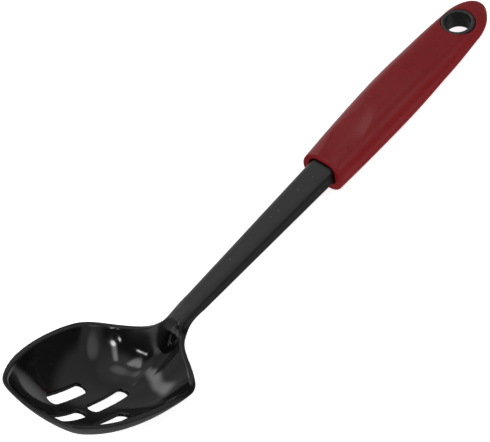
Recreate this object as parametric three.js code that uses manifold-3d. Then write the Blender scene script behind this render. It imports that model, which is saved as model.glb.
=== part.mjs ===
// Slotted serving spoon: one black moulded head (bowl, neck, shaft and tang),
// a red grip sleeve on the tang, and a black ring that lines the hang hole.
//
// Every piece is built in the spoon frame: x runs from the tip of the bowl to
// the handle, y across, z up from the plane of the bowl's rim. At the end the
// whole spoon is tilted until it lies on the lowest point of its bowl and the
// underside of its grip, with its origin at the bottom centre of its box.
// Lengths are in millimetres and angles in radians.

import * as THREE from 'three';
import { mergeVertices } from 'three/addons/utils/BufferGeometryUtils.js';
import Module from 'manifold-3d';

const wasm = await Module();
wasm.setup();

// ---------------------------------------------------------------- dimensions

const FIT_GAP = 0.3; // clearance between pieces that touch
const CUT_THROUGH = 40; // length of a cutter: more than any thickness that it cuts

// Bowl
const BOWL_CENTRE_X = 52; // deepest point, measured from the tip
const BOWL_FLOOR_Z = -16.4; // inside floor, below the rim plane
const BOWL_WALL = 2;
const RIM_Z = 1.2; // height of the rim where it is level
const LIP_WIDTH = 2.6;
const LIP_CROWN = 0.5; // how far the rounded lip stands above its edges
const WALL_POWER = 2.8; // the larger, the flatter the floor and the steeper the wall
const NECK_POWER = 14; // how sharply the rim's rise at the neck dies away inside
const STEPS_PER_POINT = 3; // points round the rim for each point of its outline

// One side of the rim's outer edge: distance from the tip, half width, height
const RIM_SIDE = [
  [0, 0, 1.2],
  [1.1, 10.5, 1.2],
  [4.3, 19.4, 1.1],
  [12, 25.3, 1],
  [21.5, 29.6, 1.2],
  [33, 32.4, 1.6],
  [47, 33.8, 1.9],
  [60, 33.5, 1.9],
  [69.8, 32.2, 1.3],
  [75.6, 29, 1],
  [80.4, 24.3, 1],
  [84.6, 18.9, 1.7],
  [88, 13, 3.4],
  [91.3, 8.2, 5.8],
];
// Its last points, inside the shaft: the outer edge and the inner edge
const NECK_SIDE = [
  [95.5, 5.6, 8.8],
  [98.6, 3.2, 10.6],
];
const NECK_END = [99.6, 0, 11.2];
const NECK_SIDE_INSIDE = [
  [91.2, 4, 7.4],
  [92.2, 2, 8.2],
];
const NECK_END_INSIDE = [92.5, 0, 8.6];

// Slots in the floor: two on the centre line and one on each side of it
const SLOT_LENGTH = 24;
const SLOT_WIDTH = 5.8;
const SLOT_PLACES = [
  [27.6, 0],
  [55.8, 0],
  [41.8, 12.3],
  [41.8, -12.3],
];

// Handle: one straight axis that rises from the neck
const HANDLE_RISE = THREE.MathUtils.degToRad(29.65);
const NECK_X = 92.5;
const NECK_Z = 10.6;
const HANDLE_LENGTH = 225.5;
const GRIP_LENGTH = 122.5;
const GRIP_START = HANDLE_LENGTH - GRIP_LENGTH;

// Shaft section, at the neck and where it enters the grip
const SHAFT_NECK = { top: 3.8, bottom: 4.9, height: 6.8 };
const SHAFT_GRIP = { top: 5.7, bottom: 7.1, height: 8.6 };
const SHAFT_CORNER = 1.4;
const SOCKET_DEPTH = 5; // how far the full shaft goes into the grip
const SHOULDER_LENGTH = 0.5; // of the step from the shaft down to the tang
const TANG = { top: 4.2, bottom: 4.6, height: 5 };
const TANG_CORNER = 1;
const TANG_END = GRIP_START + 88;

// Tongue: the shaft bends down the bowl's back wall and fades into it.
// Centre line as x, z, then the share of the neck's width and of its height.
const TONGUE = [
  [90.3, -5.5, 0.7, 0.3],
  [90.6, -2.2, 0.85, 0.5],
  [91, 1.6, 0.95, 0.72],
  [91.6, 5.4, 1, 0.9],
  [92.9, 9.2, 1, 1],
];
const STRAIGHT_FROM = 6; // distance up the handle where the tongue is over
const TONGUE_AIM = 8; // the point of the handle's axis that the tongue's curve runs to

// Grip, with distances measured from its front face
const GRIP_HALF_WIDTH = [
  [0, 11.1],
  [25, 12.1],
  [56, 12.7],
  [84, 11.9],
  [105, 10.4],
];
const GRIP_HALF_HEIGHT = [
  [0, 8.2],
  [25, 9],
  [56, 9.2],
  [84, 7.4],
  [105, 5.7],
];
const GRIP_CENTRE_LINE = [
  [0, -1.6],
  [25, -0.8],
  [56, 0],
  [105, 0.4],
]; // its height over the shaft's axis: the grip arches a little
const GRIP_FRONT_ROUND = 2.8;
const GRIP_SECTION_POWER = 2.3; // 2 is an ellipse, more is squarer
const GRIP_TAIL_POWER = 3; // the flatter section at the hang ring
const GRIP_TAIL_BLEND = 30; // length over which the one becomes the other
const GRIP_SOLE = 0.94; // share of its depth at which the underside is cut flat, to lie steady
const GRIP_AROUND = 40;
const GRIP_RING_FIRST = 6;
const GRIP_RING_STEP = 4;

// Thumb rest: a shallow scoop in the top of the grip, near its front
const SCOOP_CENTRE = 24;
const SCOOP_HALF_LENGTH = 21;
const SCOOP_HALF_WIDTH = 8.5;
const SCOOP_DEPTH = 1.3;

// Hang ring
const RING_FROM_END = 18;
const RING_PLACE = GRIP_LENGTH - RING_FROM_END; // the grip's rounded tail starts here too
const RING_OUTER_R = 8.1;
const RING_INNER_R = 6.2;
const RING_HALF_HEIGHT = 5.4;
const RING_EDGE = 0.6; // rounding of its rims
const RING_AROUND = 48;

// Fineness of the curves that are sampled, and of the search for the tilt
const PROFILE_SAMPLES = 120;
const SEARCH_STEPS = 40;

// ------------------------------------------------------------------- helpers

// A closed solid from rings of points, each with the same count, capped by
// one point before the first ring and one after the last.
function loft(startPoint, rings, endPoint) {
  const count = rings[0].length;
  const points = [startPoint, ...rings.flat(), endPoint];
  const last = points.length - 1;
  const faces = [];
  const at = (ring, i) => 1 + ring * count + (i % count);
  for (let i = 0; i < count; i++) {
    faces.push([0, at(0, i + 1), at(0, i)]);
    faces.push([last, at(rings.length - 1, i), at(rings.length - 1, i + 1)]);
  }
  for (let ring = 0; ring < rings.length - 1; ring++) {
    for (let i = 0; i < count; i++) {
      faces.push([at(ring, i), at(ring, i + 1), at(ring + 1, i + 1)]);
      faces.push([at(ring, i), at(ring + 1, i + 1), at(ring + 1, i)]);
    }
  }
  return toSolid(points, faces);
}

// A manifold solid from points and faces, with the faces turned to point out.
function toSolid(points, faces) {
  let volume = 0;
  for (const [a, b, c] of faces) {
    volume += points[a].dot(points[b].clone().cross(points[c]));
  }
  const outward = volume > 0 ? faces : faces.map(([a, b, c]) => [a, c, b]);
  const mesh = new wasm.Mesh({
    numProp: 3,
    vertProperties: new Float32Array(points.flatMap((p) => [p.x, p.y, p.z])),
    triVerts: new Uint32Array(outward.flat()),
  });
  return new wasm.Manifold(mesh);
}

// A manifold solid from a closed three.js geometry.
function geometryToSolid(geometry) {
  geometry.deleteAttribute('normal');
  geometry.deleteAttribute('uv');
  const merged = mergeVertices(geometry, 1e-4);
  const mesh = new wasm.Mesh({
    numProp: 3,
    vertProperties: new Float32Array(merged.attributes.position.array),
    triVerts: new Uint32Array(merged.index.array),
  });
  return new wasm.Manifold(mesh);
}

function solidToGeometry(solid) {
  const mesh = solid.getMesh();
  const geometry = new THREE.BufferGeometry();
  geometry.setAttribute('position', new THREE.BufferAttribute(mesh.vertProperties, 3));
  geometry.setIndex(new THREE.BufferAttribute(mesh.triVerts, 1));
  geometry.computeVertexNormals();
  return geometry;
}

// A smooth value at a distance, through a few given pairs of distance, value.
function smoothProfile(pairs) {
  const curve = new THREE.CatmullRomCurve3(pairs.map(([d, v]) => new THREE.Vector3(d, v, 0)));
  const samples = curve.getPoints(PROFILE_SAMPLES);
  return (distance) => {
    const next = samples.findIndex((p) => p.x >= distance);
    if (next <= 0) return next === 0 ? samples[0].y : samples.at(-1).y;
    const [a, b] = [samples[next - 1], samples[next]];
    return THREE.MathUtils.mapLinear(distance, a.x, b.x, a.y, b.y);
  };
}

// A point on the handle's axis, moved across and up from it.
function handlePoint(along, across, up) {
  const cos = Math.cos(HANDLE_RISE);
  const sin = Math.sin(HANDLE_RISE);
  return new THREE.Vector3(NECK_X + along * cos - up * sin, across, NECK_Z + along * sin + up * cos);
}

// ---------------------------------------------------------------------- bowl

// A closed outline from the points of one side and the point that ends it.
function closedOutline(side, end) {
  const otherSide = side.slice(1).map((p) => new THREE.Vector3(p.x, -p.y, p.z));
  const outline = [...side, end, ...otherSide.reverse()];
  return new THREE.CatmullRomCurve3(outline, true, 'centripetal');
}

// Pairs of points round the rim, on the lip's outer and its inner edge.
function rimPoints() {
  const toPoint = (place) => new THREE.Vector3(...place);
  const rimSide = RIM_SIDE.map(toPoint);
  const outerSide = [...rimSide, ...NECK_SIDE.map(toPoint)];
  const outer = closedOutline(outerSide, toPoint(NECK_END));
  const insideOf = (edge, i) => {
    const tangent = outer.getTangent(i / outer.points.length);
    const inward = new THREE.Vector3(tangent.y, -tangent.x, 0).normalize();
    return edge.clone().addScaledVector(inward, LIP_WIDTH);
  };
  const innerSide = [...rimSide.map(insideOf), ...NECK_SIDE_INSIDE.map(toPoint)];
  const inner = closedOutline(innerSide, toPoint(NECK_END_INSIDE));
  const count = outer.points.length * STEPS_PER_POINT;
  const points = [];
  for (let i = 0; i < count; i++) {
    points.push({ outer: outer.getPoint(i / count), inner: inner.getPoint(i / count) });
  }
  return points;
}

// One ring of the bowl's wall, at a share of the way from its centre to its
// rim, where part runs from 0 at the lip's outer edge to 1 at its inner edge.
function bowlRing(rim, share, part, floor) {
  return rim.map(({ outer, inner }) => {
    const top = outer.clone().lerp(inner, part);
    const z =
      THREE.MathUtils.lerp(floor, RIM_Z, share ** WALL_POWER) +
      (top.z - RIM_Z) * share ** NECK_POWER;
    return new THREE.Vector3(
      THREE.MathUtils.lerp(BOWL_CENTRE_X, top.x, share),
      top.y * share,
      z,
    );
  });
}

function bowlShell() {
  const rim = rimPoints();
  const shares = [0.15, 0.3, 0.45, 0.6, 0.72, 0.82, 0.9, 0.96, 1];
  const outerFloor = BOWL_FLOOR_Z - BOWL_WALL;
  const outer = shares.map((share) => bowlRing(rim, share, 0, outerFloor));
  const inner = shares.map((share) => bowlRing(rim, share, 1, BOWL_FLOOR_Z)).reverse();
  const lip = [0.25, 0.5, 0.75].map((part) => {
    const ring = bowlRing(rim, 1, part, BOWL_FLOOR_Z);
    ring.forEach((p) => (p.z += LIP_CROWN * Math.sin(Math.PI * part)));
    return ring;
  });
  return loft(
    new THREE.Vector3(BOWL_CENTRE_X, 0, outerFloor),
    [...outer, ...lip, ...inner],
    new THREE.Vector3(BOWL_CENTRE_X, 0, BOWL_FLOOR_Z),
  );
}

function slotCutter([x, y]) {
  const radius = SLOT_WIDTH / 2;
  const reach = SLOT_LENGTH / 2 - radius;
  const outline = new THREE.Shape();
  outline.absarc(reach, 0, radius, -Math.PI / 2, Math.PI / 2);
  outline.absarc(-reach, 0, radius, Math.PI / 2, (3 * Math.PI) / 2);
  const geometry = new THREE.ExtrudeGeometry(outline, {
    depth: CUT_THROUGH,
    bevelEnabled: false,
    curveSegments: 8,
  });
  geometry.translate(x, y, BOWL_FLOOR_Z - CUT_THROUGH / 2);
  return geometryToSolid(geometry);
}

// --------------------------------------------------------------------- shaft

// A section of the shaft: a bar that is narrower on top, with round corners.
// Returns pairs of across, up.
function barSection({ top, bottom, height }, corner, grow = 0) {
  const half = height / 2 + grow;
  const corners = [
    [bottom + grow, -half, -Math.PI / 2],
    [top + grow, half, 0],
    [-top - grow, half, Math.PI / 2],
    [-bottom - grow, -half, Math.PI],
  ];
  const steps = 3;
  return corners.flatMap(([across, up, startAngle]) => {
    const centreAcross = across - Math.sign(across) * corner;
    const centreUp = up - Math.sign(up) * corner;
    const arc = [];
    for (let i = 0; i <= steps; i++) {
      const angle = startAngle + ((Math.PI / 2) * i) / steps;
      arc.push([
        centreAcross + corner * Math.cos(angle),
        centreUp + corner * Math.sin(angle),
      ]);
    }
    return arc;
  });
}

function scaledBar(bar, width, height) {
  return { top: bar.top * width, bottom: bar.bottom * width, height: bar.height * height };
}

function mixedBar(a, b, share) {
  const mix = (key) => THREE.MathUtils.lerp(a[key], b[key], share);
  return { top: mix('top'), bottom: mix('bottom'), height: mix('height') };
}

// The rings of the tongue, from its nose up to the start of the handle.
function tongueRings() {
  const path = TONGUE.map(([x, z]) => new THREE.Vector3(x, 0, z));
  path.push(handlePoint(TONGUE_AIM, 0, 0));
  const curve = new THREE.CatmullRomCurve3(path);
  return TONGUE.map(([, , width, height], i) => {
    const share = i / (path.length - 1);
    const place = curve.getPoint(share);
    const along = curve.getTangent(share);
    const bar = scaledBar(SHAFT_NECK, width, height);
    const corner = Math.min(SHAFT_CORNER, bar.height * 0.4);
    return barSection(bar, corner).map(
      ([across, up]) => new THREE.Vector3(place.x - along.z * up, across, place.z + along.x * up),
    );
  });
}

function straightRing(bar, corner, along, grow = 0) {
  return barSection(bar, corner, grow).map(([across, up]) => handlePoint(along, across, up));
}

function shaftRings(from, to, steps) {
  const rings = [];
  for (let i = 0; i <= steps; i++) {
    const along = THREE.MathUtils.lerp(from, to, i / steps);
    const share = Math.min(1, along / GRIP_START);
    rings.push(straightRing(mixedBar(SHAFT_NECK, SHAFT_GRIP, share), SHAFT_CORNER, along));
  }
  return rings;
}

function shaftAndTang() {
  const tongue = tongueRings();
  const shoulder = GRIP_START + SOCKET_DEPTH;
  const rings = [
    ...tongue,
    ...shaftRings(STRAIGHT_FROM, shoulder, 8),
    straightRing(TANG, TANG_CORNER, shoulder + SHOULDER_LENGTH),
    straightRing(TANG, TANG_CORNER, TANG_END),
  ];
  const nose = new THREE.Vector3(TONGUE[0][0], 0, TONGUE[0][1]);
  return loft(nose, rings, handlePoint(TANG_END, 0, 0));
}

// The room that the shaft's end and the tang need inside the grip.
function tangRoom() {
  const shoulder = GRIP_START + SOCKET_DEPTH + FIT_GAP;
  const outside = GRIP_START - SOCKET_DEPTH;
  const rings = [
    straightRing(SHAFT_GRIP, SHAFT_CORNER, outside, FIT_GAP),
    straightRing(SHAFT_GRIP, SHAFT_CORNER, shoulder, FIT_GAP),
    straightRing(TANG, TANG_CORNER, shoulder + SHOULDER_LENGTH, FIT_GAP),
    straightRing(TANG, TANG_CORNER, TANG_END + FIT_GAP, FIT_GAP),
  ];
  return loft(handlePoint(outside, 0, 0), rings, handlePoint(TANG_END + FIT_GAP, 0, 0));
}

// ---------------------------------------------------------------------- grip

const gripHalfWidth = smoothProfile(GRIP_HALF_WIDTH);
const gripHalfHeight = smoothProfile(GRIP_HALF_HEIGHT);
const gripCentreLine = smoothProfile(GRIP_CENTRE_LINE);

// How deep the thumb rest is at a place on the grip's top.
function scoopDepth(distance, across) {
  const u = (distance - SCOOP_CENTRE) / SCOOP_HALF_LENGTH;
  const v = across / SCOOP_HALF_WIDTH;
  const inside = Math.max(0, 1 - u * u - v * v);
  return SCOOP_DEPTH * inside * (2 - inside);
}

// One ring of the grip's skin, smaller than its full section by inset, and
// scaled by the shares for the rounded tail.
function gripRing(distance, inset, widthShare = 1, heightShare = 1) {
  const halfWidth = gripHalfWidth(distance) * widthShare - inset;
  const halfHeight = gripHalfHeight(distance) * heightShare - inset;
  const tail = THREE.MathUtils.smoothstep(distance, RING_PLACE - GRIP_TAIL_BLEND, RING_PLACE);
  const power = THREE.MathUtils.lerp(GRIP_SECTION_POWER, GRIP_TAIL_POWER, tail);
  const ring = [];
  for (let i = 0; i < GRIP_AROUND; i++) {
    const angle = (2 * Math.PI * i) / GRIP_AROUND;
    const cos = Math.cos(angle);
    const sin = Math.sin(angle);
    const across = halfWidth * Math.sign(cos) * Math.abs(cos) ** (2 / power);
    const height = halfHeight * Math.abs(sin) ** (2 / power);
    const up = sin > 0 ? height - scoopDepth(distance, across) : -Math.min(height / GRIP_SOLE, halfHeight);
    ring.push(handlePoint(GRIP_START + distance, across, up + gripCentreLine(distance)));
  }
  return ring;
}

function gripSkin() {
  const rings = [];
  const frontSteps = 4;
  for (let i = 0; i <= frontSteps; i++) {
    const angle = ((Math.PI / 2) * i) / frontSteps;
    const distance = GRIP_FRONT_ROUND * (1 - Math.cos(angle));
    rings.push(gripRing(distance, GRIP_FRONT_ROUND * (1 - Math.sin(angle))));
  }
  for (let distance = GRIP_RING_FIRST; distance < RING_PLACE; distance += GRIP_RING_STEP) {
    rings.push(gripRing(distance, 0));
  }
  const tailSteps = 8;
  for (let i = 0; i < tailSteps; i++) {
    const angle = ((Math.PI / 2) * i) / tailSteps;
    const distance = RING_PLACE + RING_FROM_END * Math.sin(angle);
    rings.push(gripRing(distance, 0, Math.cos(angle), Math.sqrt(Math.cos(angle))));
  }
  const front = handlePoint(GRIP_START, 0, gripCentreLine(0));
  return loft(front, rings, handlePoint(HANDLE_LENGTH, 0, gripCentreLine(GRIP_LENGTH)));
}

function gripSleeve() {
  return gripSkin().subtract(tangRoom()).subtract(ringSeat());
}

// ----------------------------------------------------------------- hang ring

// Stands a geometry that was made round the y axis at the hang hole, with its
// axis square to the top of the grip.
function placeAtHangHole(geometry) {
  geometry.rotateX(Math.PI / 2);
  geometry.rotateY(-HANDLE_RISE);
  const place = handlePoint(HANDLE_LENGTH - RING_FROM_END, 0, gripCentreLine(RING_PLACE));
  geometry.translate(place.x, place.y, place.z);
  return geometryToSolid(geometry);
}

function ringSeat() {
  const seat = new THREE.CylinderGeometry(
    RING_OUTER_R + FIT_GAP,
    RING_OUTER_R + FIT_GAP,
    CUT_THROUGH,
    RING_AROUND,
  );
  return placeAtHangHole(seat);
}

function hangRing() {
  const outer = RING_OUTER_R;
  const inner = RING_INNER_R;
  const half = RING_HALF_HEIGHT;
  const edge = RING_EDGE;
  const profile = [
    [inner, -half + edge],
    [inner + edge * 0.3, -half + edge * 0.3],
    [inner + edge, -half],
    [outer - edge / 2, -half],
    [outer, -half + edge / 2],
    [outer, half - edge / 2],
    [outer - edge / 2, half],
    [inner + edge, half],
    [inner + edge * 0.3, half - edge * 0.3],
    [inner, half - edge],
    [inner, -half + edge],
  ];
  const points = profile.map(([radius, height]) => new THREE.Vector2(radius, height));
  return placeAtHangHole(new THREE.LatheGeometry(points, RING_AROUND));
}

// ------------------------------------------------------------------ assembly

function spoonHead() {
  let head = bowlShell().add(shaftAndTang());
  for (const place of SLOT_PLACES) {
    head = head.subtract(slotCutter(place));
  }
  return head;
}

function makeMesh(name, solid, color, roughness) {
  const material = new THREE.MeshStandardMaterial({ color, roughness, metalness: 0 });
  const mesh = new THREE.Mesh(solidToGeometry(solid), material);
  mesh.name = name;
  return mesh;
}

// The height of a mesh's lowest point once it is tilted.
function lowestPoint(mesh, tilt) {
  const position = mesh.geometry.attributes.position;
  const cos = Math.cos(tilt);
  const sin = Math.sin(tilt);
  let lowest = Infinity;
  for (let i = 0; i < position.count; i++) {
    lowest = Math.min(lowest, position.getZ(i) * cos - position.getX(i) * sin);
  }
  return lowest;
}

// The tilt at which two meshes are equally low, found by halving the range.
function restingTilt(head, grip) {
  let low = 0;
  let high = Math.PI / 4;
  for (let step = 0; step < SEARCH_STEPS; step++) {
    const middle = (low + high) / 2;
    if (lowestPoint(grip, middle) > lowestPoint(head, middle)) low = middle;
    else high = middle;
  }
  return (low + high) / 2;
}

const head = makeMesh('spoon_head', spoonHead(), 0x1a1b1a, 0.3);
const grip = makeMesh('grip_sleeve', gripSleeve(), 0x8c1b22, 0.45);
const ring = makeMesh('hang_ring', hangRing(), 0x232423, 0.4);

const tilted = new THREE.Group();
tilted.rotation.y = restingTilt(head, grip);
tilted.add(head, grip, ring);

const spoon = new THREE.Group();
spoon.add(tilted);
const box = new THREE.Box3().setFromObject(spoon, true);
tilted.position.set(-(box.min.x + box.max.x) / 2, -(box.min.y + box.max.y) / 2, -box.min.z);

export default spoon;
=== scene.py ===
"""Looks of the slotted serving spoon: a black moulded head, a red grip and the liner of its hang hole.

Each piece is one smooth closed surface, made from a distance function, so that every junction and edge
is rounded as on a moulding. Shapes are worked out in the spoon's own frame in millimetres: x from the
tip of the bowl to the handle, y across and z up from the rim. They are then laid down as the CAD model
lies, in metres.
"""

import math

import bpy
import numpy as np
from mathutils import Matrix, Vector


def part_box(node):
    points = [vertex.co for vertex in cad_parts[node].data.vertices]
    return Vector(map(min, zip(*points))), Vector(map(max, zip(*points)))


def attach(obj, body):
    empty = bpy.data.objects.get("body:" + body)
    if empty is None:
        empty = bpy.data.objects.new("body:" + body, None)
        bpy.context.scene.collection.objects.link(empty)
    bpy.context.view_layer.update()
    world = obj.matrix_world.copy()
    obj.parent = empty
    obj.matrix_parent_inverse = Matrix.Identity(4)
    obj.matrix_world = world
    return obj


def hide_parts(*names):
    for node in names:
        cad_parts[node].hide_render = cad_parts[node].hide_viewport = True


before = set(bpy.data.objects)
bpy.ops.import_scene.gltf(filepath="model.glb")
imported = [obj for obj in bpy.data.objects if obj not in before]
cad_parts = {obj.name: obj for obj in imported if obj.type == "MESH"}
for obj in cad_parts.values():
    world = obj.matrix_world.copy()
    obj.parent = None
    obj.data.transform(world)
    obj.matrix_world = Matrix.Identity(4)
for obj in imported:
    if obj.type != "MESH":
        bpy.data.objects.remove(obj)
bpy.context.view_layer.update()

MM = 0.001

# ------------------------------------------------------------------ dimensions (millimetres, spoon frame)
# Each pair in a profile is a distance along the piece and the value there.

REST_TILT = math.radians(31.6247)  # how far the spoon leans back as it lies
HANDLE_RISE = math.radians(29.65)
NECK = np.array([92.5, 0.0, 10.6])  # where the handle's axis starts
HANDLE_LENGTH = 225.5
GRIP_LENGTH = 122.5
GRIP_START = HANDLE_LENGTH - GRIP_LENGTH

BOWL_CENTRE_X = 52.0
FLOOR_INSIDE = -16.4
FLOOR_OUTSIDE = -18.4
RIM_Z = 1.2
LIP_WIDTH = 2.6
LIP_CROWN = 0.45
LIP_ROUND = 1.1  # length over which the lip's edges are rounded
WALL_ROUND = 0.6
WALL_POWER = 2.8  # how late the wall turns up from the floor
NECK_POWER = 14.0  # the same for the extra height at the neck
RIM_SOFTENING = 0.045  # angle round the bowl over which the rim's outline is evened out
RIM_SIDE = [  # the rim's outer edge: distance from the tip, half width, height
    (0, 0, 1.2), (1.1, 10.5, 1.2), (4.3, 19.4, 1.1), (12, 25.3, 1), (21.5, 29.6, 1.2),
    (33, 32.4, 1.6), (47, 33.8, 1.9), (60, 33.5, 1.9), (69.8, 32.2, 1.3), (75.6, 29, 1),
    (80.4, 24.3, 1), (84.6, 18.9, 1.7), (88, 13, 3.4), (91.3, 8.2, 5.8),
]
NECK_SIDE = [(95.5, 5.6, 8.8), (98.6, 3.2, 10.6)]
NECK_END = (99.6, 0, 11.2)
NECK_SIDE_INSIDE = [(91.2, 4, 7.4), (92.2, 2, 8.2)]
NECK_END_INSIDE = (92.5, 0, 8.6)

SLOT_LENGTH = 24.0
SLOT_WIDTH = 5.8
SLOT_PLACES = [(27.6, 0), (55.8, 0), (41.8, 12.3), (41.8, -12.3)]
SLOT_ROUND = 0.9

SHAFT_NECK = (4.0, 5.2, 6.8)  # half width on top, half width below, full height
SHAFT_GRIP = (6.1, 7.6, 8.0)
SHAFT_CORNER = 2.5
SHAFT_END_ROUND = 0.6
SOCKET_DEPTH = 5.0
MOUTH_DEPTH = 4.0  # the socket is a little wider than the shaft at its mouth
MOUTH_GAP = 0.5
MOUTH_RAISE = 0.1
TANG = (4.2, 4.6, 5.0)
TANG_CORNER = 1.0
TANG_LENGTH = 88.0
TONGUE = [  # x, z, share of the neck's width, share of its height
    (91.2, -5.5, 0.7, 0.55), (91.2, -2.2, 0.85, 0.68), (91.4, 1.6, 0.95, 0.82),
    (91.8, 5.4, 1, 0.93), (92.9, 9.2, 1, 1),
]
TONGUE_CORNER = 2.9
TONGUE_CORNER_LIMIT = 0.45  # of the tongue's height
TONGUE_NOSE_ROUND = 5.0
TONGUE_SPREAD = 0.3  # the tongue is a little wider on top than the shaft
NECK_STATIONS = (8.0, 14.0, 20.0, 26.0)  # distances up the handle where its centre line is straight
NECK_FILLET = 5.0
BOWL_REACH = 116.0  # nothing beyond this x belongs to the bowl

GRIP_HALF_WIDTH = [(0, 11.1), (25, 12.1), (56, 12.7), (84, 11.9), (105, 10.4)]
GRIP_HALF_HEIGHT = [(0, 8.2), (25, 9), (56, 9.2), (84, 7.4), (105, 5.7)]
GRIP_CENTRE_LINE = [(0, -1.6), (25, -0.8), (56, 0), (105, 0.4)]
GRIP_FRONT_ROUND = 0.8
GRIP_FRONT_SET_BACK = 0.8
GRIP_FRONT_SLANT = 0.3  # how far the top of the front face leans back for each millimetre up
GRIP_FRONT_BEND = 2.0  # height above the grip's centre line where the front face starts to lean back
GRIP_FRONT_BEND_ROUND = 2.0
GRIP_POWER = 2.3  # how square the grip's section is: 2 is an ellipse
GRIP_TAIL_POWER = 3.0
GRIP_TAIL_BLEND = 30.0
GRIP_SOLE = 0.94  # the flat sole's depth, as a share of the round section's
GRIP_SOLE_ROUND = 1.0
GRIP_EDGE_ROUND = 0.5  # of the socket's mouth and the ring's seat

# Thumb rest: a scoop near the front that narrows and then spreads out flat along the top
SCOOP_HALF_WIDTH = [
    (-4, 2.2), (1, 2.6), (5.6, 3.9), (12, 5.2), (18, 6.9), (22, 7.3), (26, 6.7), (30.3, 5.8),
    (34.5, 4.6), (39.2, 4.7), (45.7, 5.5), (53.7, 6.3), (68.6, 8.1), (84, 9.5), (130, 9.5),
]
SCOOP_DEPTH = [
    (-4, 0), (0, 0.1), (6, 0.75), (14, 1.4), (24, 1.6), (30, 1.2), (34.5, 0.7),
    (39, 0.4), (46, 0.4), (54, 0.32), (62, 0.2), (72, 0.06), (80, 0), (130, 0),
]
SCOOP_EDGE = 0.07  # how soft the crease at its edge is

RING_FROM_END = 18.0
RING_PLACE = GRIP_LENGTH - RING_FROM_END
RING_OUTER_R = 8.1
RING_INNER_R = 6.2
RING_HALF_HEIGHT = 5.4
RING_EDGE_ROUND = 1.2
FIT_GAP = 0.15

HEAD_CELL, HEAD_BOX = 0.53, ((-2, -36, -20), (272, 36, 112))
GRIP_CELL, GRIP_BOX = 0.56, ((172, -15, 48), (298, 15, 136))
RING_CELL, RING_BOX = 0.32, ((262, -10, 100), (286, 10, 126))

# ------------------------------------------------------------------ curves

FULL_TURN = 2 * math.pi
PROFILE_STEPS = 40  # points on a profile's curve for each span
RIM_STEPS = 24
NECK_STEPS = 12


def spline_points(points, per_segment, closed=False):
    """Points on a centripetal Catmull-Rom curve, per_segment for each span between the given points."""
    given = np.asarray(points, float)
    count = len(given)
    if closed:
        padded = np.vstack([given[-1], given, given[0], given[1]])
        spans = count
    else:
        padded = np.vstack([2 * given[0] - given[1], given, 2 * given[-1] - given[-2]])
        spans = count - 1
    t = (np.arange(per_segment) / per_segment)[:, None]
    found = []
    for i in range(spans):
        p0, p1, p2, p3 = padded[i : i + 4]
        d0, d1, d2 = (max(np.linalg.norm(b - a) ** 0.5, 1e-4) for a, b in ((p0, p1), (p1, p2), (p2, p3)))
        start = ((p1 - p0) / d0 - (p2 - p0) / (d0 + d1) + (p2 - p1) / d1) * d1
        end = ((p2 - p1) / d1 - (p3 - p1) / (d1 + d2) + (p3 - p2) / d2) * d1
        cubic = 2 * p1 - 2 * p2 + start + end
        square = -3 * p1 + 3 * p2 - 2 * start - end
        found.append(p1 + start * t + square * t**2 + cubic * t**3)
    if not closed:
        found.append(given[-1:])
    return np.vstack(found)


def profile(pairs):
    """A smooth function of distance through a few pairs of distance, value."""
    points = spline_points(pairs, PROFILE_STEPS)
    return lambda distance: np.interp(distance, points[:, 0], points[:, 1])


def smoothstep(x, low, high):
    """0 up to low, 1 from high on, and a smooth rise between them."""
    t = np.clip((x - low) / (high - low), 0, 1)
    return t * t * (3 - 2 * t)


def smooth_min(a, b, size):
    """The smaller of two distances, rounded where they meet over about that size."""
    h = np.maximum(size - np.abs(a - b), 0) / size
    return np.minimum(a, b) - h**3 * size / 6


def smooth_max(a, b, size):
    """The larger of two distances, rounded where they meet over about that size."""
    return -smooth_min(-a, -b, size)


# ------------------------------------------------------------------ bowl


def closed_ring(side, end):
    """The points along one side from the tip, the end, and the way back along the other side."""
    side = np.array(side, float)
    return np.vstack([side, end, side[:0:-1] * (1, -1, 1)])


def rim_edges():
    """The rim's outer and inner edges as closed rings of points."""
    outer_side = RIM_SIDE + NECK_SIDE
    outer = spline_points(closed_ring(outer_side, NECK_END), RIM_STEPS, closed=True)
    tangent = np.roll(outer, -1, axis=0) - np.roll(outer, 1, axis=0)
    tangent = tangent[::RIM_STEPS][: len(RIM_SIDE)]
    inward = np.column_stack([tangent[:, 1], -tangent[:, 0], 0 * tangent[:, 0]])
    inward /= np.linalg.norm(inward, axis=1)[:, None]
    inner_side = np.vstack([np.array(RIM_SIDE, float) + inward * LIP_WIDTH, NECK_SIDE_INSIDE])
    inner = spline_points(closed_ring(inner_side, NECK_END_INSIDE), RIM_STEPS, closed=True)
    return outer, inner


def evened_out(values, angle):
    """Values at even steps round a ring, evened out over an angle."""
    frequency = np.fft.rfftfreq(len(values), 1 / len(values))
    return np.fft.irfft(np.fft.rfft(values) * np.exp(-0.5 * (frequency * angle) ** 2), len(values))


class RimEdge:
    """A closed edge as its distance from the bowl's centre, and its height, at each angle round it."""

    def __init__(self, points, steps=4096):
        angle = np.arctan2(points[:, 1], points[:, 0] - BOWL_CENTRE_X)
        radius = np.hypot(points[:, 1], points[:, 0] - BOWL_CENTRE_X)
        self.angle = np.linspace(-math.pi, math.pi, steps, endpoint=False)
        self.radius, self.height = (
            evened_out(np.interp(self.angle, angle, values, period=FULL_TURN), RIM_SOFTENING)
            for values in (radius, points[:, 2])
        )

    def at(self, angle):
        """The distance from the bowl's centre, and the height, at an angle."""
        return (
            np.interp(angle, self.angle, self.radius, period=FULL_TURN),
            np.interp(angle, self.angle, self.height, period=FULL_TURN),
        )


OUTER_EDGE, INNER_EDGE = (RimEdge(edge) for edge in rim_edges())


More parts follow.
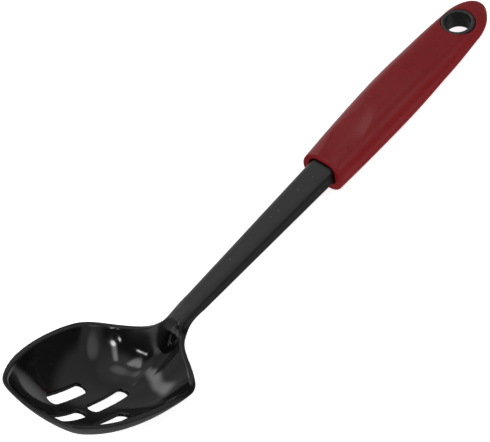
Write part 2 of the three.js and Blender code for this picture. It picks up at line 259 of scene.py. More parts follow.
def wall_height(edge, floor, x, y):
    """One face of the bowl's wall over a place: its height, its slope and the height of the rim there.

    Past the rim the face carries on straight.
    """
    radius, top = edge.at(np.arctan2(y, x - BOWL_CENTRE_X))
    share = np.hypot(x - BOWL_CENTRE_X, y) / radius
    inside = np.minimum(share, 1)
    rise = RIM_Z - floor
    neck_rise = top - RIM_Z
    steepness = rise * WALL_POWER * inside ** (WALL_POWER - 1)
    steepness = steepness + neck_rise * NECK_POWER * inside ** (NECK_POWER - 1)
    height = floor + rise * inside**WALL_POWER + neck_rise * inside**NECK_POWER
    return height + steepness * (share - inside), steepness / radius, top


def bowl_distance(x, y, z):
    """Distance to the bowl without its slots: between its two faces and below the top of its lip."""
    inner, inner_slope, _ = wall_height(INNER_EDGE, FLOOR_INSIDE, x, y)
    outer, outer_slope, rim_top = wall_height(OUTER_EDGE, FLOOR_OUTSIDE, x, y)
    above = (z - inner) / np.sqrt(1 + inner_slope**2)
    below = (outer - z) / np.sqrt(1 + outer_slope**2)
    shell = smooth_max(above, below, WALL_ROUND)
    return smooth_max(shell, z - rim_top - LIP_CROWN, LIP_ROUND)


def slots_distance(x, y):
    """The distance to the nearest slot's side, below zero inside the slot."""
    reach = (SLOT_LENGTH - SLOT_WIDTH) / 2
    nearest = np.full_like(x, 1e3)
    for slot_x, slot_y in SLOT_PLACES:
        along = np.maximum(np.abs(x - slot_x) - reach, 0)
        nearest = np.minimum(nearest, np.hypot(along, y - slot_y) - SLOT_WIDTH / 2)
    return nearest


# ------------------------------------------------------------------ handle


def handle_point(along, across=0.0, up=0.0):
    """The place in the spoon's frame at a distance along the handle's axis, across it and above it."""
    cos, sin = math.cos(HANDLE_RISE), math.sin(HANDLE_RISE)
    return NECK + np.array([along * cos - up * sin, across, along * sin + up * cos])


def in_handle_frame(x, z):
    """How far along the handle's axis a place is, and how far above it."""
    cos, sin = math.cos(HANDLE_RISE), math.sin(HANDLE_RISE)
    dx, dz = x - NECK[0], z - NECK[2]
    return dx * cos + dz * sin, -dx * sin + dz * cos


def bar_distance(across, up, top, bottom, height, corner):
    """Distance to a bar that is narrower on top, with round corners."""
    half = height / 2
    lean = (bottom - top) / height
    half_width = (top + bottom) / 2 - lean * up
    side = (np.abs(across) - half_width) / np.sqrt(1 + lean**2) + corner
    face = np.abs(up) - half + corner
    outside = np.hypot(np.maximum(side, 0), np.maximum(face, 0))
    return outside + np.minimum(np.maximum(side, face), 0) - corner


def shaft_sizes(along):
    """The shaft's half width on top, half width below and height, at a distance up the handle."""
    share = np.clip(along / GRIP_START, 0, 1)
    return [a + (b - a) * share for a, b in zip(SHAFT_NECK, SHAFT_GRIP)]


def neck_line():
    """The centre line from the tongue's nose to the shaft, as rows of x, z and the three sizes."""
    rows = [(x, z) + tuple(np.multiply(SHAFT_NECK, (w, w, h))) for x, z, w, h in TONGUE]
    for along in NECK_STATIONS:
        place = handle_point(along)
        rows.append((place[0], place[2], *shaft_sizes(along)))
    return spline_points(rows, NECK_STEPS)


def neck_distance(x, y, z):
    """Distance to the stretch where the shaft bends down into the bowl's back wall."""
    line = neck_line()
    nearest = np.full(x.shape, 1e9)
    up = np.zeros(x.shape)
    sizes = np.zeros((3,) + x.shape)
    for here, there in zip(line[:-1], line[1:]):
        step = there[:2] - here[:2]
        length = np.hypot(*step)
        dx, dz = x - here[0], z - here[1]
        share = np.clip((dx * step[0] + dz * step[1]) / length**2, 0, 1)
        gap = np.hypot(dx - share * step[0], dz - share * step[1])
        nearer = gap < nearest
        nearest = np.where(nearer, gap, nearest)
        up = np.where(nearer, (step[0] * dz - step[1] * dx) / length, up)
        for i in range(3):
            sizes[i] = np.where(nearer, here[2 + i] + (there[2 + i] - here[2 + i]) * share, sizes[i])
    top, bottom, height = sizes
    first, second = line[0, :2], line[1, :2]
    down = (first - second) / np.hypot(*(first - second))
    past_nose = (x - first[0]) * down[0] + (z - first[1]) * down[1]
    corner = np.minimum(TONGUE_CORNER, height * TONGUE_CORNER_LIMIT)
    bar = bar_distance(y, up, top + TONGUE_SPREAD, bottom, height, corner)
    return smooth_max(bar, past_nose, TONGUE_NOSE_ROUND)


def bar_all_along(x, y, z):
    """Distance to the whole bar: tongue, shaft and tang."""
    along, up = in_handle_frame(x, z)
    bar = bar_distance(y, up, *shaft_sizes(along), SHAFT_CORNER)
    bar = smooth_max(bar, along - GRIP_START - SOCKET_DEPTH, SHAFT_END_ROUND)
    neck = along < NECK_STATIONS[1]
    bar[neck] = neck_distance(x[neck], y[neck], z[neck])
    tang = bar_distance(y, up, *TANG, TANG_CORNER)
    tang = np.maximum(tang, np.maximum(along - GRIP_START - TANG_LENGTH, GRIP_START - along))
    return np.minimum(bar, tang)


def head_distance(p):
    """Distance to the whole head: the bowl with its slots, and the bar that grows out of it."""
    x, y, z = p.T
    distance = bar_all_along(x, y, z)
    near = x < BOWL_REACH
    bx, by, bz = x[near], y[near], z[near]
    bowl = smooth_max(bowl_distance(bx, by, bz), -slots_distance(bx, by), SLOT_ROUND)
    distance[near] = smooth_min(bowl, distance[near], NECK_FILLET)
    return distance


# ------------------------------------------------------------------ grip and ring

grip_half_width = profile(GRIP_HALF_WIDTH)
grip_half_height = profile(GRIP_HALF_HEIGHT)
grip_centre_line = profile(GRIP_CENTRE_LINE)
scoop_half_width = profile(SCOOP_HALF_WIDTH)
scoop_depth = profile(SCOOP_DEPTH)


def scoop(along, across):
    """How far the thumb rest lies below the grip's round top, with a soft crease at its edge."""
    inside = 1 - (across / scoop_half_width(along)) ** 2
    soft = (inside + np.sqrt(inside**2 + SCOOP_EDGE**2)) / 2
    return scoop_depth(along) * soft


def grip_fullness(along, across, up):
    """A number that is nought on the grip's skin, below nought inside it and above nought outside."""
    towards_tail = smoothstep(along, RING_PLACE - GRIP_TAIL_BLEND, RING_PLACE)
    power = GRIP_POWER + (GRIP_TAIL_POWER - GRIP_POWER) * towards_tail
    tail = np.clip((along - RING_PLACE) / RING_FROM_END, 0, 2)
    taper = np.sqrt(np.maximum(1 - tail**2, 0.002))  # kept above nought, so that the slope stays finite
    height = np.where(up > 0, up + scoop(along, across), up * GRIP_SOLE)
    section = (
        np.abs(across / grip_half_width(along)) ** power
        + np.abs(height * np.sqrt(taper) / grip_half_height(along)) ** power
    )
    return np.sqrt(section ** (2 / power) + tail**2) - 1


def grip_distance(p):
    """Distance to the grip: its skin, cut flat below and in front, with the socket and the ring's seat."""
    x, y, z = p.T
    along, up = in_handle_frame(x, z)
    inside = along - GRIP_START
    raised = up - grip_centre_line(inside)
    full = grip_fullness(inside, y, raised)
    step = 0.05
    slope = np.sqrt(
        (grip_fullness(inside + step, y, raised) - full) ** 2
        + (grip_fullness(inside, y + step, raised) - full) ** 2
        + (grip_fullness(inside, y, raised + step) - full) ** 2
    )
    skin = full * step / np.maximum(slope, 1e-4)
    taper = np.sqrt(np.clip(1 - ((inside - RING_PLACE) / RING_FROM_END).clip(0, 1) ** 2, 0.02, 1))
    sole = -raised - grip_half_height(inside) * np.sqrt(taper)
    skin = smooth_max(skin, sole, GRIP_SOLE_ROUND)
    front = GRIP_FRONT_SET_BACK - inside
    slanted = (front + GRIP_FRONT_SLANT * (raised - GRIP_FRONT_BEND)) / math.hypot(1, GRIP_FRONT_SLANT)
    front = smooth_max(front, slanted, GRIP_FRONT_BEND_ROUND)
    skin = smooth_max(skin, front, 2 * GRIP_FRONT_ROUND)
    socket = np.minimum(
        np.maximum(bar_distance(y, up, *SHAFT_GRIP, SHAFT_CORNER), inside - SOCKET_DEPTH),
        np.maximum(bar_distance(y, up, *TANG, TANG_CORNER), inside - TANG_LENGTH),
    )
    mouth = bar_distance(y, up - MOUTH_RAISE, *SHAFT_GRIP, SHAFT_CORNER) - MOUTH_GAP
    socket = np.minimum(socket, np.maximum(mouth, inside - MOUTH_DEPTH))
    seat = np.hypot(inside - RING_PLACE, y) - RING_OUTER_R
    hollow = np.minimum(socket, seat) - FIT_GAP
    return smooth_max(skin, -hollow, GRIP_EDGE_ROUND)


def ring_distance(p):
    """Distance to the ring: a plain tube with rounded edges."""
    x, y, z = p.T
    along, up = in_handle_frame(x, z)
    inside = along - GRIP_START - RING_PLACE
    radius = np.hypot(inside, y)
    middle = (RING_OUTER_R + RING_INNER_R) / 2
    wall = np.abs(radius - middle) - (RING_OUTER_R - RING_INNER_R) / 2
    height = np.abs(up - grip_centre_line(np.array([RING_PLACE]))) - RING_HALF_HEIGHT
    return smooth_max(wall, height, RING_EDGE_ROUND)


# ------------------------------------------------------------------ surfaces


def gradient(distance, points, step=0.02):
    """How fast a distance grows along each axis, at each point."""
    found = np.empty_like(points)
    for axis in range(3):
        shift = np.zeros(3)
        shift[axis] = step
        found[:, axis] = distance(points + shift) - distance(points - shift)
    return found / (2 * step)


def onto_surface(distance, points, longest, rounds):
    """The points moved to where the distance is nought, by at most that length in each round."""
    for _ in range(rounds):
        slope = gradient(distance, points)
        squared = np.maximum((slope**2).sum(1), 1e-6)
        move = slope * (distance(points) / squared)[:, None]
        length = np.linalg.norm(move, axis=1)[:, None]
        points = points - move * np.minimum(1, longest / np.maximum(length, 1e-9))
    return points


def packed(cells, size):
    """Whole numbers that stand for cells of a grid of that size."""
    return (cells[:, 0] * size[1] + cells[:, 1]) * size[2] + cells[:, 2]


def lookup(keys, wanted):
    """Where each wanted key is in the sorted keys, or -1."""
    at = np.searchsorted(keys, wanted).clip(0, len(keys) - 1)
    return np.where(keys[at] == wanted, at, -1)


# A cell's corners, and for each of its faces the numbers of the corners round it
CUBE = np.array([(i, j, k) for i in (0, 1) for j in (0, 1) for k in (0, 1)])
FACES = [(0, 1, 3, 2), (4, 5, 7, 6), (0, 1, 5, 4), (2, 3, 7, 6), (0, 2, 6, 4), (1, 3, 7, 5)]
BLOCK = 4  # fine cells along each side of a coarse block
BLOCK_REACH = 1.5  # blocks whose centre is farther from the surface than this many sides are left out
UNTEARING_ROUNDS = 4
EVENING_ROUNDS = 3


def whole_places(counts):
    """Every place of a grid with that many steps along each axis, in order."""
    return np.stack(np.meshgrid(*map(np.arange, counts), indexing="ij"), -1).reshape(-1, 3)


def cells_near_surface(distance, low, high, cell):
    """The fine cells of the coarse blocks that the surface may pass through."""
    block = cell * BLOCK
    counts = np.ceil((high - low) / block).astype(int)
    blocks = whole_places(counts)
    centres = low + (blocks + 0.5) * block
    blocks = blocks[np.abs(distance(centres)) < BLOCK_REACH * block]
    inner = whole_places([BLOCK] * 3)
    return (blocks[:, None] * BLOCK + inner).reshape(-1, 3), counts * BLOCK + 2


def untorn(value, corner_of):
    """The corners' distances, changed where a face's two diagonals lie on opposite sides of the surface.

    Such a face would pinch the surface, so the sign of its corner nearest to the surface is changed.
    """
    for _ in range(UNTEARING_ROUNDS):
        for face in FACES:
            four = corner_of[:, face]
            side = value[four] < 0
            torn = (side[:, 0] == side[:, 2]) & (side[:, 1] == side[:, 3]) & (side[:, 0] != side[:, 1])
            four = four[torn]
            nearest = np.unique(four[np.arange(len(four)), np.abs(value[four]).argmin(1)])
            value[nearest] = -value[nearest]
    return value


def surface(distance, low, high, cell):
    """The closed surface where a distance is nought, as points, quads and outward directions.

    One point for each small cell that the surface crosses, one quad for each cell edge that it crosses.
    The points are evened out along the surface and put back onto it, so the facets leave no trace.
    """
    low, high = np.asarray(low, float), np.asarray(high, float)
    cells, size = cells_near_surface(distance, low, high, cell)
    corners = (cells[:, None] + CUBE).reshape(-1, 3)
    keys, first, corner_of = np.unique(packed(corners, size), return_index=True, return_inverse=True)
    corners, corner_of = corners[first], corner_of.reshape(-1, len(CUBE))
    inside = untorn(distance(low + corners * cell), corner_of) < 0
    count = inside[corner_of].sum(1)
    crossed = cells[(count > 0) & (count < len(CUBE))]
    crossed = crossed[np.argsort(packed(crossed, size))]
    cell_keys = packed(crossed, size)

    quads = []
    for axis in range(3):
        ahead = corners.copy()
        ahead[:, axis] += 1
        other = lookup(keys, packed(ahead, size))
        change = (other >= 0) & (inside != inside[other])
        edge, leaving = corners[change], inside[change]
        u, v = np.eye(3, dtype=int)[(axis + 1) % 3], np.eye(3, dtype=int)[(axis + 2) % 3]
        round_edge = [lookup(cell_keys, packed(edge - shift, size)) for shift in (0 * u, u, u + v, v)]
        quad = np.stack(round_edge, 1)
        quad[~leaving] = quad[~leaving, ::-1]
        quads.append(quad[(quad >= 0).all(1)])
    quads = np.vstack(quads)

    points = onto_surface(distance, low + (crossed + 0.5) * cell, cell, rounds=3)
    for _ in range(EVENING_ROUNDS):
        total = np.zeros_like(points)
        weight = np.zeros(len(points))
        for a, b in ((0, 1), (1, 2), (2, 3), (3, 0)):
            for one, two in ((quads[:, a], quads[:, b]), (quads[:, b], quads[:, a])):
                np.add.at(total, one, points[two])
                np.add.at(weight, one, 1)
        even = total / np.maximum(weight, 1)[:, None]
        points = onto_surface(distance, points + 0.5 * (even - points), cell / 2, rounds=1)
    normals = gradient(distance, points)
    return points, quads, normals / np.linalg.norm(normals, axis=1)[:, None]


# ------------------------------------------------------------------ from the spoon's frame to the row's

LEAN = np.array(
    [
        [math.cos(REST_TILT), 0, math.sin(REST_TILT)],
        [0, 1, 0],
        [-math.sin(REST_TILT), 0, math.cos(REST_TILT)],
    ]
)


def row_offset():
    """Where the spoon frame's origin lies, in metres: the ring's box has the hang hole at its centre."""
    lowest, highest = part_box("hang_ring")
    centre = handle_point(GRIP_START + RING_PLACE, 0, float(grip_centre_line(RING_PLACE)))
    return np.array((lowest + highest) / 2) - LEAN @ centre * MM


OFFSET = row_offset()


def laid_down(points):
    """Points of the spoon's frame, in millimetres, as they lie in the row's, in metres."""
    return points @ LEAN.T * MM + OFFSET


def make_piece(name, distance, cell, box, node):
    """One piece of the spoon, as a smooth closed mesh that stands for its CAD node."""
    points, quads, normals = surface(distance, *box, cell)
    mesh = bpy.data.meshes.new(name)
    mesh.from_pydata(laid_down(points).tolist(), [], quads.tolist())
    mesh.shade_smooth()
    mesh.normals_split_custom_set_from_vertices((normals @ LEAN.T).tolist())
    piece = bpy.data.objects.new(name, mesh)
    bpy.context.scene.collection.objects.link(piece)
    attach(piece, "root")
    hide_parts(node)
    return piece


HEAD = make_piece("moulded_head", head_distance, HEAD_CELL, HEAD_BOX, "spoon_head")
GRIP = make_piece("red_grip", grip_distance, GRIP_CELL, GRIP_BOX, "grip_sleeve")
RING = make_piece("hang_hole_liner", ring_distance, RING_CELL, RING_BOX, "hang_ring")

# ------------------------------------------------------------------ materials


class Nodes:
    """A short way to lay out the nodes of a material or the world."""

    def __init__(self, tree):
        self.tree = tree

    def add(self, kind, inputs=None, **settings):
        node = self.tree.nodes.new(kind)
        for name, value in settings.items():
            setattr(node, name, value)
        for name, value in (inputs or {}).items():
            self.put(node.inputs[name], value)
        return node

    def put(self, socket, value):
        """Links a socket to a node's output, or sets its value."""
        if isinstance(value, bpy.types.NodeSocket):
            self.tree.links.new(value, socket)
        else:
            socket.default_value = value

    def place(self):
        """The place on the surface in the row's frame, in metres."""
        return self.add("ShaderNodeTexCoord").outputs["Object"]

    def stretched(self, place, scale):
        """The coordinates times a scale for each axis, so that a pattern on them is drawn out."""
        return self.add("ShaderNodeMapping", {"Vector": place, "Scale": scale}).outputs["Vector"]

    def noise(self, place, scale, detail=3.0, roughness=0.5):
        """Soft blotches from 0 to 1, about scale of them in each metre."""
        inputs = {"Vector": place, "Scale": scale, "Detail": detail, "Roughness": roughness}
        return self.add("ShaderNodeTexNoise", inputs).outputs["Fac"]

    def range(self, value, low, high, to_low=0.0, to_high=1.0, smooth=True):
        """A value from low to high, turned into one from to_low to to_high."""
        inputs = {"Value": value, "From Min": low, "From Max": high, "To Min": to_low, "To Max": to_high}
        kind = "SMOOTHSTEP" if smooth else "LINEAR"
        return self.add("ShaderNodeMapRange", inputs, interpolation_type=kind).outputs["Result"]

    def math(self, operation, a, b=0.0):
        node = self.add("ShaderNodeMath", operation=operation)
        self.put(node.inputs[0], a)
        self.put(node.inputs[1], b)
        return node.outputs[0]

    def along(self, place, direction, start):
        """How far a place is along a direction from a start, in metres."""
        node = self.add("ShaderNodeVectorMath", {0: place, 1: tuple(direction)}, operation="DOT_PRODUCT")
        return self.math("SUBTRACT", node.outputs["Value"], float(np.dot(direction, start)))

    def mix_value(self, share, a, b):
        node = self.add("ShaderNodeMix", data_type="FLOAT")
        self.put(node.inputs[0], share)
        self.put(node.inputs[2], a)
        self.put(node.inputs[3], b)
        return node.outputs[0]

    def mix_colour(self, share, a, b):
        node = self.add("ShaderNodeMix", data_type="RGBA")
        self.put(node.inputs[0], share)
        self.put(node.inputs[6], a if isinstance(a, bpy.types.NodeSocket) else (*a, 1))
        self.put(node.inputs[7], b if isinstance(b, bpy.types.NodeSocket) else (*b, 1))
        return node.outputs[2]

    def specks(self, place, per_metre, share, size):
        """Sparse round specks: 1 on a speck and 0 elsewhere. Only that share of the cells holds one."""
        cells = self.add("ShaderNodeTexVoronoi", {"Vector": place, "Scale": per_metre, "Randomness": 1.0})
        dot = self.range(cells.outputs["Distance"], size, size * 0.5)
        random = self.add("ShaderNodeSeparateColor", {"Color": cells.outputs["Color"]}).outputs["Red"]
        chosen = self.math("GREATER_THAN", random, 1 - share)
        return self.math("MULTIPLY", dot, chosen)

    def bump(self, height, distance, normal=None):
        """A normal tilted by a height pattern that is so many metres deep, on top of another normal."""
        inputs = {"Height": height, "Distance": distance, "Strength": 1.0}
        if normal is not None:
            inputs["Normal"] = normal
        return self.add("ShaderNodeBump", inputs).outputs["Normal"]


def new_material(name, **settings):
    """A material with one Principled shader, whose even values are set on its own sockets."""
    material = bpy.data.materials.new(name)
    material.use_nodes = True
    shader = material.node_tree.nodes["Principled BSDF"]
    for socket, value in settings.items():
        shader.inputs[socket.replace("_", " ")].default_value = value
    return material, Nodes(material.node_tree), shader


# Colours, each as the darker and the paler of the two that a pattern mixes
GLOSS_BLACKS = (0.0024, 0.0026, 0.0025), (0.0046, 0.0050, 0.0047)
SATIN_BLACKS = (0.0030, 0.0035, 0.0032), (0.0062, 0.0070, 0.0065)
RING_BLACKS = (0.010, 0.011, 0.0105), (0.019, 0.020, 0.0195)
GRIP_REDS = (0.200, 0.0045, 0.0070), (0.245, 0.0070, 0.0100)
DUST_ON_BLACK = (0.16, 0.16, 0.155)
DUST_ON_RED = (0.42, 0.15, 0.15)
WORN_RED = (0.245, 0.0120, 0.0155)
RUBBED_BLACK = (0.045, 0.046, 0.045)

SATIN_SLANT = 1.95  # how much sooner the satin starts on the far side of the tongue: length for each width
HANDLE_DIRECTION = LEAN @ (handle_point(1) - handle_point(0))
NECK_PLACE = laid_down(handle_point(0))


def satin_share(nodes, place):
    """1 on the shaft and on the tongue's far side, where the plastic is satin, and 0 where it is glossy."""
    wander = nodes.math("MULTIPLY", nodes.math("SUBTRACT", nodes.noise(place, 300), 0.5), 0.003)
    up_the_handle = nodes.along(place, HANDLE_DIRECTION, NECK_PLACE)
    slant = nodes.along(place, HANDLE_DIRECTION + (0, SATIN_SLANT, 0), NECK_PLACE)
    on_tongue = nodes.range(nodes.math("ADD", slant, wander), -0.0085, -0.0020)
    on_tongue = nodes.math("MULTIPLY", on_tongue, nodes.range(up_the_handle, -0.015, -0.008))
    aside = nodes.math("ABSOLUTE", nodes.along(place, (0, 1, 0), NECK_PLACE))
    on_tongue = nodes.math("MULTIPLY", on_tongue, nodes.range(aside, 0.005, 0.009, 1.0, 0.0))
    return nodes.math("MAXIMUM", on_tongue, nodes.range(up_the_handle, 0.007, 0.012))


def black_nylon():
    """High gloss inside the bowl, less outside it, and satin with a fine grain on the shaft."""
    material, nodes, shader = new_material("black_nylon", IOR=1.5)
    place = nodes.place()
    satin = satin_share(nodes, place)
    facing = nodes.along(nodes.add("ShaderNodeNewGeometry").outputs["Normal"], LEAN[:, 2], (0, 0, 0))
    outside = nodes.range(facing, -0.20, 0.05, 1.0, 0.0)

    cloud = nodes.noise(place, 70, 4)
    gloss_colour = nodes.mix_colour(cloud, *GLOSS_BLACKS)
    satin_colour = nodes.mix_colour(nodes.noise(place, 240, 5), *SATIN_BLACKS)
    dust = nodes.specks(place, 420, 0.07, 0.16)
    dusty = nodes.math("MULTIPLY", dust, nodes.math("ADD", nodes.math("MULTIPLY", satin, 0.6), 0.12))
    colour = nodes.mix_colour(dusty, nodes.mix_colour(satin, gloss_colour, satin_colour), DUST_ON_BLACK)
    nodes.put(shader.inputs["Base Color"], colour)

    rubbed = nodes.noise(nodes.stretched(place, (180, 900, 900)), 1, 3)
    inside_roughness = nodes.range(nodes.noise(place, 55, 5, 0.6), 0.35, 0.75, 0.055, 0.12)
    inside_roughness = nodes.math("ADD", inside_roughness, nodes.range(rubbed, 0.6, 0.8, 0.0, 0.05))
    outside_roughness = nodes.range(cloud, 0.3, 0.7, 0.38, 0.46)
    gloss_roughness = nodes.mix_value(outside, inside_roughness, outside_roughness)
    grain = nodes.noise(place, 2600, 2)
    satin_roughness = nodes.range(nodes.noise(place, 130, 4), 0.3, 0.7, 0.27, 0.34)
    satin_roughness = nodes.math("ADD", satin_roughness, nodes.math("MULTIPLY", grain, 0.06))
    nodes.put(shader.inputs["Roughness"], nodes.mix_value(satin, gloss_roughness, satin_roughness))

    swell = nodes.bump(nodes.noise(place, 34, 1), 0.00022)
    grain_share = nodes.math("ADD", nodes.math("MULTIPLY", satin, 0.95), 0.01)
    fine = nodes.bump(nodes.math("MULTIPLY", grain, grain_share), 0.00005, swell)
    nodes.put(shader.inputs["Normal"], nodes.bump(dust, 0.00003, fine))
    return material


def red_plastic():
    """Satin dark red, with handling wear, faint mottling and a little dust."""
    material, nodes, shader = new_material("red_plastic", IOR=1.5, Specular_IOR_Level=0.25)
    place = nodes.place()
    mottle = nodes.noise(place, 160, 5, 0.6)
    red = nodes.mix_colour(mottle, *GRIP_REDS)
    handled = nodes.range(nodes.noise(place, 38, 3), 0.45, 0.7)
    red = nodes.mix_colour(nodes.math("MULTIPLY", handled, 0.25), red, WORN_RED)
    dust = nodes.specks(place, 300, 0.10, 0.15)
    pits = nodes.specks(nodes.stretched(place, (1, 1.3, 1)), 210, 0.08, 0.13)
    red = nodes.mix_colour(nodes.math("MULTIPLY", dust, 0.5), red, DUST_ON_RED)
    nodes.put(shader.inputs["Base Color"], red)

    grain = nodes.noise(place, 2200, 2)
    roughness = nodes.range(nodes.noise(place, 75, 5, 0.6), 0.3, 0.7, 0.22, 0.30)
    nodes.put(shader.inputs["Roughness"], nodes.math("ADD", roughness, nodes.math("MULTIPLY", grain, 0.05)))

    swell = nodes.bump(nodes.noise(place, 30, 1), 0.0003)
    fine = nodes.bump(grain, 0.000022, swell)
    marks = nodes.math("SUBTRACT", dust, pits)
    nodes.put(shader.inputs["Normal"], nodes.bump(marks, 0.00006, fine))
    return material


def black_ring():
    """The smooth black liner, a little greyer in streaks, as if rubbed."""
    material, nodes, shader = new_material("black_ring", IOR=1.5)
    place = nodes.place()
    colour = nodes.mix_colour(nodes.noise(place, 300, 4), *RING_BLACKS)
    rubbed = nodes.range(nodes.noise(nodes.stretched(place, (300, 300, 1400)), 1, 3), 0.55, 0.75)
    colour = nodes.mix_colour(nodes.math("MULTIPLY", rubbed, 0.3), colour, RUBBED_BLACK)
    nodes.put(shader.inputs["Base Color"], colour)
    nodes.put(shader.inputs["Roughness"], nodes.range(nodes.noise(place, 420, 4), 0.3, 0.7, 0.24, 0.38))
    nodes.put(shader.inputs["Normal"], nodes.bump(nodes.noise(place, 1900, 3), 0.00002))
    return material


HEAD.data.materials.append(black_nylon())
GRIP.data.materials.append(red_plastic())
RING.data.materials.append(black_ring())

# ------------------------------------------------------------------ floor, light and camera

FLOOR_HALF = 6.0
FLOOR_GREYS = (0.86, 0.86, 0.86), (0.89, 0.89, 0.89)
FLOOR_GLOW = 0.78

BOWL_PLACE = Vector((-0.09, 0.0, 0.02))  # what the softboxes are aimed at

# The studio round the spoon: directions are an azimuth from +X and an elevation, in degrees
BELOW_HORIZON, ABOVE_HORIZON = 0.07, 0.40
GLOWS = [  # direction, angle to the edge of the full glow, angle to its end, radiance
    ((5, -24), 4, 22, 0.7),
    ((-75, -34), 8, 30, 0.3),
    ((63, -16), 6, 26, 0.7),
    ((25, 68), 8, 36, 0.25),
    ((-54, 40), 2, 18, 0.9),
    ((70, -68), 10, 35, 0.28),
    ((185, 35), 8, 40, 0.9),
]
DARK_CORNER = ((-124, 60), 17, 30, 0.22)  # direction, the same two angles, share of the light that is left
TUBES = [  # from, to, half width in degrees, radiance
    ((-88, 65), (-28, 70.5), 3.8, 3.6),
    ((62, 62), (75, 8), 9.0, 1.9),
]
TUBE_CORE = 0.2  # share of the half width that is fully lit
TUBE_FADE = (0.75, 1.1)  # shares of the half length between which the ends fade out
LAMPS = [  # as the glows, but small
    ((2, 64), 1, 9, 1.0),
    ((-86, 65), 1.2, 3.0, 18.0),
    ((-109, 67), 0.8, 2.2, 14.0),
]


def add_floor():
    """A wide pale light table. Glossy surfaces mirror the studio instead of it."""
    corners = [(x * FLOOR_HALF, y * FLOOR_HALF, 0) for x, y in ((-1, -1), (1, -1), (1, 1), (-1, 1))]
    mesh = bpy.data.meshes.new("floor")
    mesh.from_pydata(corners, [], [(0, 1, 2, 3)])
    floor = bpy.data.objects.new("floor", mesh)
    bpy.context.scene.collection.objects.link(floor)
    glow = {"Emission_Color": (1, 1, 1, 1), "Emission_Strength": FLOOR_GLOW}
    material, nodes, shader = new_material("pale_floor", Roughness=0.9, Specular_IOR_Level=0.1, **glow)
    nodes.put(shader.inputs["Base Color"], nodes.mix_colour(nodes.noise(nodes.place(), 3), *FLOOR_GREYS))
    mesh.materials.append(material)
    floor.visible_glossy = False


def direction(azimuth, elevation):
    """The direction at an angle round from +X and an angle up, in degrees."""
    a, e = math.radians(azimuth), math.radians(elevation)
    return Vector((math.cos(e) * math.cos(a), math.cos(e) * math.sin(a), math.sin(e)))


def add_softbox(name, azimuth, elevation, distance, size, radiance, edge):
    """A soft light aimed at the bowl. Its radiance fades out over that share of its half size."""
    light = bpy.data.lights.new(name, "AREA")
    light.shape = "RECTANGLE"
    light.size, light.size_y = size
    light.energy = math.pi * size[0] * size[1]
    light.use_nodes = True
    nodes = Nodes(light.node_tree)
    over_the_light = nodes.add("ShaderNodeNewGeometry").outputs["Parametric"]
    across = nodes.add("ShaderNodeSeparateXYZ", {"Vector": over_the_light})
    level = radiance
    for axis in "XY":
        from_middle = nodes.math("ABSOLUTE", nodes.math("SUBTRACT", across.outputs[axis], 0.5))
        level = nodes.math("MULTIPLY", nodes.range(from_middle, 0.5 * (1 - edge), 0.5, 1.0, 0.0), level)
    nodes.put(light.node_tree.nodes["Emission"].inputs["Strength"], level)
    towards = direction(azimuth, elevation)
    lamp = bpy.data.objects.new(name, light)
    lamp.visible_camera = False
    lamp.location = BOWL_PLACE + towards * distance
    lamp.rotation_euler = towards.to_track_quat("Z", "Y").to_euler()
    bpy.context.scene.collection.objects.link(lamp)


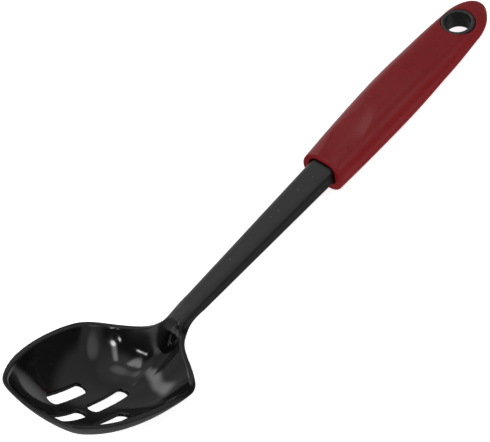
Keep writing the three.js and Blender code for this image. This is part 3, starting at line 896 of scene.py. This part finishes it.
def add_world():
    """A plain studio, dark below the horizon and paler above, with soft glows, tubes and a dark corner."""
    world = bpy.data.worlds.new("studio")
    bpy.context.scene.world = world
    world.use_nodes = True
    nodes = Nodes(world.node_tree)
    where = nodes.add("ShaderNodeTexCoord").outputs["Generated"]

    def within(middle, inner, outer):
        """1 within an angle of a direction, fading to 0 at a wider one."""
        nearness = nodes.along(where, middle, (0, 0, 0))
        return nodes.range(nearness, math.cos(math.radians(outer)), math.cos(math.radians(inner)))

    def tube(start, end, half_width):
        """A soft line of light between two places in the studio, brightest along its middle."""
        a, b = direction(*start), direction(*end)
        aside = nodes.math("ABSOLUTE", nodes.along(where, a.cross(b).normalized(), (0, 0, 0)))
        middle = (a + b).normalized()
        edge = math.sin(math.radians(half_width))
        line = nodes.range(aside, TUBE_CORE * edge, edge, 1.0, 0.0)
        reach = math.degrees(a.angle(middle))
        return nodes.math("MULTIPLY", line, within(middle, reach * TUBE_FADE[0], reach * TUBE_FADE[1]))

    def lit(shade, light, radiance):
        return nodes.math("ADD", shade, nodes.math("MULTIPLY", light, radiance))

    height = nodes.along(where, (0, 0, 1), (0, 0, 0))
    shade = nodes.range(height, -0.05, 0.15, BELOW_HORIZON, ABOVE_HORIZON)
    for place, inner, outer, radiance in GLOWS:
        shade = lit(shade, within(direction(*place), inner, outer), radiance)
    place, inner, outer, share = DARK_CORNER
    dark = nodes.range(within(direction(*place), inner, outer), 0.0, 1.0, 1.0, share, smooth=False)
    shade = nodes.math("MULTIPLY", shade, dark)
    for start, end, half_width, radiance in TUBES:
        shade = lit(shade, tube(start, end, half_width), radiance)
    for place, inner, outer, radiance in LAMPS:
        shade = lit(shade, within(direction(*place), inner, outer), radiance)
    nodes.put(world.node_tree.nodes["Background"].inputs["Color"], shade)


CAMERA_PLACE = Vector((-0.48661, -0.54183, 0.97396))
CAMERA_AZIMUTH = 40.855  # degrees from +Y towards +X that it looks along
CAMERA_DOWN = 52.78
CAMERA_ROLL = -12.28
CAMERA_LENS = 197.82


def add_camera():
    """A long lens that looks down on the spoon, a little rolled."""
    forward = -direction(270 - CAMERA_AZIMUTH, CAMERA_DOWN)
    level = forward.cross(Vector((0, 0, 1))).normalized()
    above = level.cross(forward)
    roll = math.radians(CAMERA_ROLL)
    right = level * math.cos(roll) + above * math.sin(roll)
    up = above * math.cos(roll) - level * math.sin(roll)
    data = bpy.data.cameras.new("camera")
    data.lens = CAMERA_LENS
    data.sensor_fit = "HORIZONTAL"
    data.clip_end = 60
    camera = bpy.data.objects.new("camera", data)
    turn = Matrix((right, up, -forward)).transposed().to_4x4()
    camera.matrix_world = Matrix.Translation(CAMERA_PLACE) @ turn
    bpy.context.scene.collection.objects.link(camera)
    bpy.context.scene.camera = camera


add_floor()
add_world()
add_softbox("key", azimuth=40, elevation=62, distance=0.55, size=(0.40, 0.32), radiance=0.25, edge=0.9)
add_softbox("window", azimuth=40, elevation=36, distance=0.50, size=(0.14, 0.14), radiance=0.45, edge=0.8)
add_camera()
bpy.context.scene.view_settings.view_transform = "Standard"
